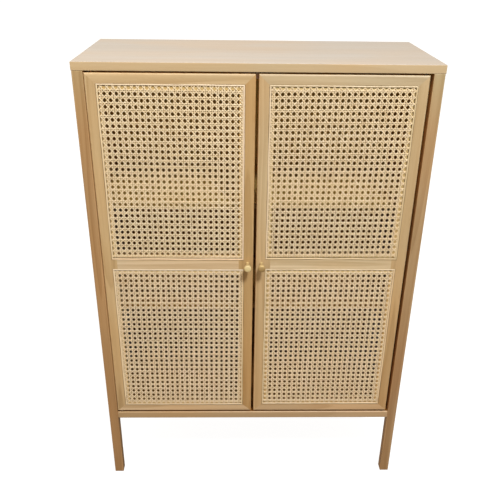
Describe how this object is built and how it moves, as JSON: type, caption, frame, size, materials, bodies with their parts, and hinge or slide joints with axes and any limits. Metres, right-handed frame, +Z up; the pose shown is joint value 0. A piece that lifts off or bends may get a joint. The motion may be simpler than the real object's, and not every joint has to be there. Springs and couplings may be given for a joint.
{
  "type": "cane door cabinet",
  "caption": "Tall two-door cupboard on slim square legs, with woven cane panels in framed doors, shelves inside and small turned knobs.",
  "frame": {"origin": "on the floor, below the middle of the whole, knobs included", "axes": "+Z up, -Y towards the front where the doors are, +X to the right seen from the front"},
  "size_m": [0.8, 0.382, 1.15],
  "materials": {
    "board": "satin lacquer",
    "leg_wood": "satin lacquer",
    "door_wood": "satin lacquer",
    "cane": "natural cane",
    "reed": "natural reed",
    "dowel": "bare",
    "brass": "satin",
    "steel": "zinc plated",
    "plastic": "moulded"
  },
  "bodies": {
    "carcass": {"back_panel": "board", "back_panel_screws": "steel", "bottom_panel": "board", "bottom_panel_dowels": "dowel", "catch_housing": "plastic", "catch_magnets": "steel", "catch_screws": "steel", "foot_glides": "plastic", "leg_front_left": "leg_wood", "leg_front_right": "leg_wood", "leg_rear_left": "leg_wood", "leg_rear_right": "leg_wood", "pivot_bushes_bottom": "brass", "pivot_bushes_top": "brass", "pivot_washers": "plastic", "shelf_lower": "board", "shelf_pins_lower": "brass", "shelf_pins_upper": "brass", "shelf_upper": "board", "side_panel_dowels": "dowel", "side_panel_left": "board", "side_panel_right": "board", "top_dowels": "dowel", "top_panel": "board"},
    "door_left": {"door_left_cane_lower": "cane", "door_left_cane_upper": "cane", "door_left_frame_dowels": "dowel", "door_left_hinge_stile": "door_wood", "door_left_knob_stile": "door_wood", "door_left_pivot_pins": "steel", "door_left_rail_bottom": "door_wood", "door_left_rail_mid": "door_wood", "door_left_rail_top": "door_wood", "door_left_splines_lower": "reed", "door_left_splines_upper": "reed", "door_left_strike_plate": "steel", "door_left_strike_screw": "steel", "knob_left": "brass", "knob_screw_left": "steel"},
    "door_right": {"door_right_cane_lower": "cane", "door_right_cane_upper": "cane", "door_right_frame_dowels": "dowel", "door_right_hinge_stile": "door_wood", "door_right_knob_stile": "door_wood", "door_right_pivot_pins": "steel", "door_right_rail_bottom": "door_wood", "door_right_rail_mid": "door_wood", "door_right_rail_top": "door_wood", "door_right_splines_lower": "reed", "door_right_splines_upper": "reed", "door_right_strike_plate": "steel", "door_right_strike_screw": "steel", "knob_right": "brass", "knob_screw_right": "steel"}
  },
  "joints": [
    {"name": "door_left_hinge", "type": "hinge", "parent": "carcass", "child": "door_left", "pos_m": [-0.3643, -0.1525, 0.6758], "axis": [0, 0, -1], "range_deg": [0, 105]},
    {"name": "door_right_hinge", "type": "hinge", "parent": "carcass", "child": "door_right", "pos_m": [0.3578, -0.1525, 0.6758], "axis": [0, 0, 1], "range_deg": [0, 105]}
  ]
}
